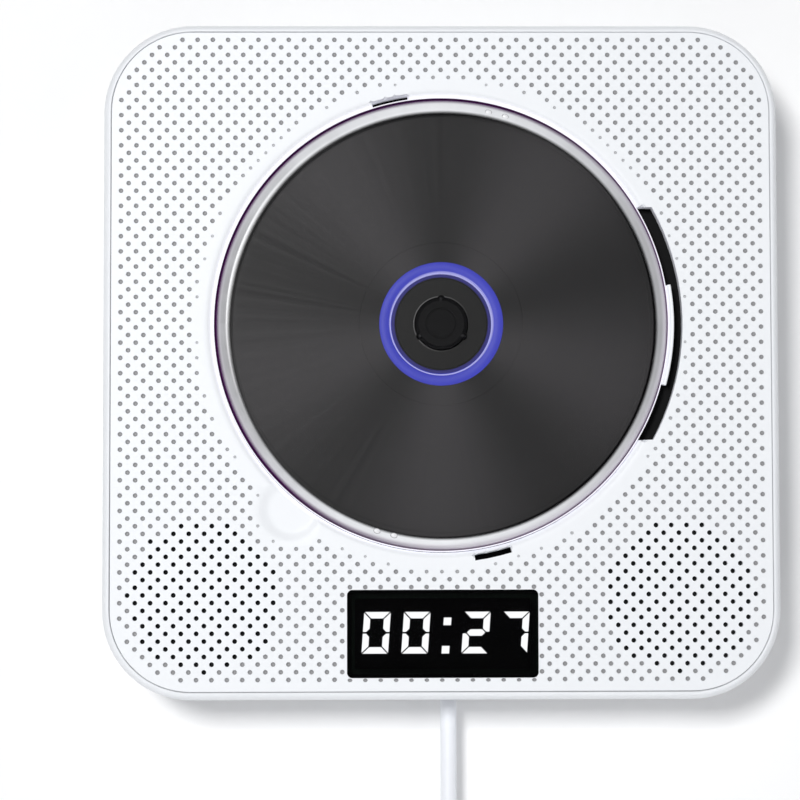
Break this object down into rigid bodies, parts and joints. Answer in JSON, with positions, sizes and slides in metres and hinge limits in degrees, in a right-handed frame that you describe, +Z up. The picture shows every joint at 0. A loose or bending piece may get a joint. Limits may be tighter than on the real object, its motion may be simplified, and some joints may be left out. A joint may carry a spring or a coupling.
{
  "type": "wall mounted cd player",
  "caption": "Square wall-mounted disc player with a round clear dust cover, perforated front, clock display, top buttons and a pull-cord switch.",
  "frame": {"origin": "middle of the wall bracket's two screw holes, on the wall", "axes": "+Z up the wall, +Y into the wall, front faces -Y, +X to the right seen from the front"},
  "size_m": [0.19, 0.0432, 0.3536],
  "materials": {
    "painted_steel": "satin grey powder coat",
    "white_plastic": "cool white moulded plastic with a fine satin grain",
    "rubber": "matt black",
    "screw_steel": "zinc plated",
    "black_plastic": "black moulded plastic",
    "clear_plastic": "clear polished plastic with a bright edge",
    "violet_seal": "dark violet line",
    "disc_face": "charcoal disc with soft radial streaks",
    "blue_ring": "blue print",
    "polished_steel": "polished",
    "motor_can": "drawn steel can",
    "deck_steel": "pressed zinc-plated sheet",
    "gear_nylon": "natural nylon",
    "lens_glass": "coated",
    "smoked_window": "smoked, glossy",
    "lit_digits": "lit white bars",
    "circuit_board": "green solder resist",
    "socket_metal": "bright nickel",
    "speaker_steel": "black painted",
    "speaker_magnet": "ferrite with a plated yoke",
    "speaker_cone": "black pressed paper",
    "grille_cloth": "black open weave",
    "white_cord": "smooth white sheath"
  },
  "bodies": {
    "wall_bracket": {"wall_bracket": "painted_steel"},
    "case": {"front_shell": "white_plastic", "front_plate": "white_plastic", "rear_shell": "white_plastic", "rubber_feet": "rubber", "case_screws": "screw_steel", "small_screws": "screw_steel", "disc_tray": "black_plastic", "spindle_motor": "motor_can", "deck_plate": "deck_steel", "deck_dampers": "rubber", "deck_screws": "screw_steel", "guide_rods": "polished_steel", "sled_motor": "motor_can", "display_window": "smoked_window", "display_module": "black_plastic", "display_digits": "lit_digits", "display_board": "circuit_board", "remote_receiver": "black_plastic", "main_board": "circuit_board", "board_parts": "black_plastic", "power_socket": "black_plastic", "usb_socket": "socket_metal", "audio_socket": "black_plastic", "left_speaker_frame": "speaker_steel", "right_speaker_frame": "speaker_steel", "speaker_magnets": "speaker_magnet", "speaker_surrounds": "rubber", "grille_cloths": "grille_cloth", "button_board": "circuit_board", "key_switches": "black_plastic", "switch_body": "black_plastic", "switch_spring": "polished_steel", "cord_gland": "white_plastic"},
    "dust_cover": {"dust_cover": "clear_plastic", "cover_seal": "violet_seal"},
    "rotor": {"compact_disc": "disc_face", "disc_ring": "blue_ring", "turntable": "black_plastic", "hub_cap": "black_plastic", "clamp_balls": "polished_steel", "motor_shaft": "polished_steel"},
    "pickup": {"pickup_sled": "black_plastic", "sled_rack": "gear_nylon"},
    "lens": {"lens_holder": "black_plastic", "pickup_lens": "lens_glass"},
    "drive_gear": {"drive_gear": "gear_nylon"},
    "motor_pinion": {"motor_pinion": "gear_nylon"},
    "mode_button": {"mode_button": "white_plastic"},
    "previous_button": {"previous_button": "white_plastic"},
    "play_button": {"play_button": "white_plastic"},
    "next_button": {"next_button": "white_plastic"},
    "softer_button": {"softer_button": "white_plastic"},
    "louder_button": {"louder_button": "white_plastic"},
    "pull": {"switch_slider": "gear_nylon", "pull_cord": "white_cord", "pull_knob": "white_plastic"},
    "left_cone": {"left_cone": "speaker_cone"},
    "right_cone": {"right_cone": "speaker_cone"}
  },
  "joints": [
    {"name": "case_lift", "type": "slide", "parent": "wall_bracket", "child": "case", "axis": [0, 0, 1], "range_m": [0, 0.009]},
    {"name": "cover_lift", "type": "slide", "parent": "case", "child": "dust_cover", "axis": [0, -1, 0], "range_m": [0, 0.045]},
    {"name": "disc_spin", "type": "hinge", "parent": "case", "child": "rotor", "pos_m": [0, -0.038, 0.0102], "axis": [0, -1, 0], "continuous": true},
    {"name": "sled_slide", "type": "slide", "parent": "case", "child": "pickup", "axis": [-1, 0, 0], "range_m": [0, 0.033]},
    {"name": "gear_spin", "type": "hinge", "parent": "case", "child": "drive_gear", "pos_m": [-0.034, -0.028, -0.0178], "axis": [0, -1, 0], "range_deg": [0, 473]},
    {"name": "pinion_spin", "type": "hinge", "parent": "case", "child": "motor_pinion", "pos_m": [-0.034, -0.028, -0.0293], "axis": [0, -1, 0], "range_deg": [-1702, 0]},
    {"name": "lens_focus", "type": "slide", "parent": "pickup", "child": "lens", "axis": [0, -1, 0], "range_m": [-0.0004, 0.0004], "stiffness_N_per_m": 40},
    {"name": "mode_press", "type": "slide", "parent": "case", "child": "mode_button", "axis": [0, 0, -1], "range_m": [0, 0.0005], "stiffness_N_per_m": 300, "springref_m": -0.001},
    {"name": "previous_press", "type": "slide", "parent": "case", "child": "previous_button", "axis": [0, 0, -1], "range_m": [0, 0.0005], "stiffness_N_per_m": 300, "springref_m": -0.001},
    {"name": "play_press", "type": "slide", "parent": "case", "child": "play_button", "axis": [0, 0, -1], "range_m": [0, 0.0005], "stiffness_N_per_m": 300, "springref_m": -0.001},
    {"name": "next_press", "type": "slide", "parent": "case", "child": "next_button", "axis": [0, 0, -1], "range_m": [0, 0.0005], "stiffness_N_per_m": 300, "springref_m": -0.001},
    {"name": "softer_press", "type": "slide", "parent": "case", "child": "softer_button", "axis": [0, 0, -1], "range_m": [0, 0.0005], "stiffness_N_per_m": 300, "springref_m": -0.001},
    {"name": "louder_press", "type": "slide", "parent": "case", "child": "louder_button", "axis": [0, 0, -1], "range_m": [0, 0.0005], "stiffness_N_per_m": 300, "springref_m": -0.001},
    {"name": "pull_switch", "type": "slide", "parent": "case", "child": "pull", "axis": [0, 0, -1], "range_m": [0, 0.008], "stiffness_N_per_m": 250, "springref_m": -0.004, "deforming": ["switch_spring"]},
    {"name": "left_cone_move", "type": "slide", "parent": "case", "child": "left_cone", "axis": [0, -1, 0], "range_m": [-0.0005, 0.0005], "stiffness_N_per_m": 900},
    {"name": "right_cone_move", "type": "slide", "parent": "case", "child": "right_cone", "axis": [0, -1, 0], "range_m": [-0.0005, 0.0005], "stiffness_N_per_m": 900}
  ],
  "couplings": [
    {"joint": "gear_spin", "follows": "sled_slide", "rad_per_m": 250},
    {"joint": "pinion_spin", "follows": "sled_slide", "rad_per_m": -900}
  ]
}
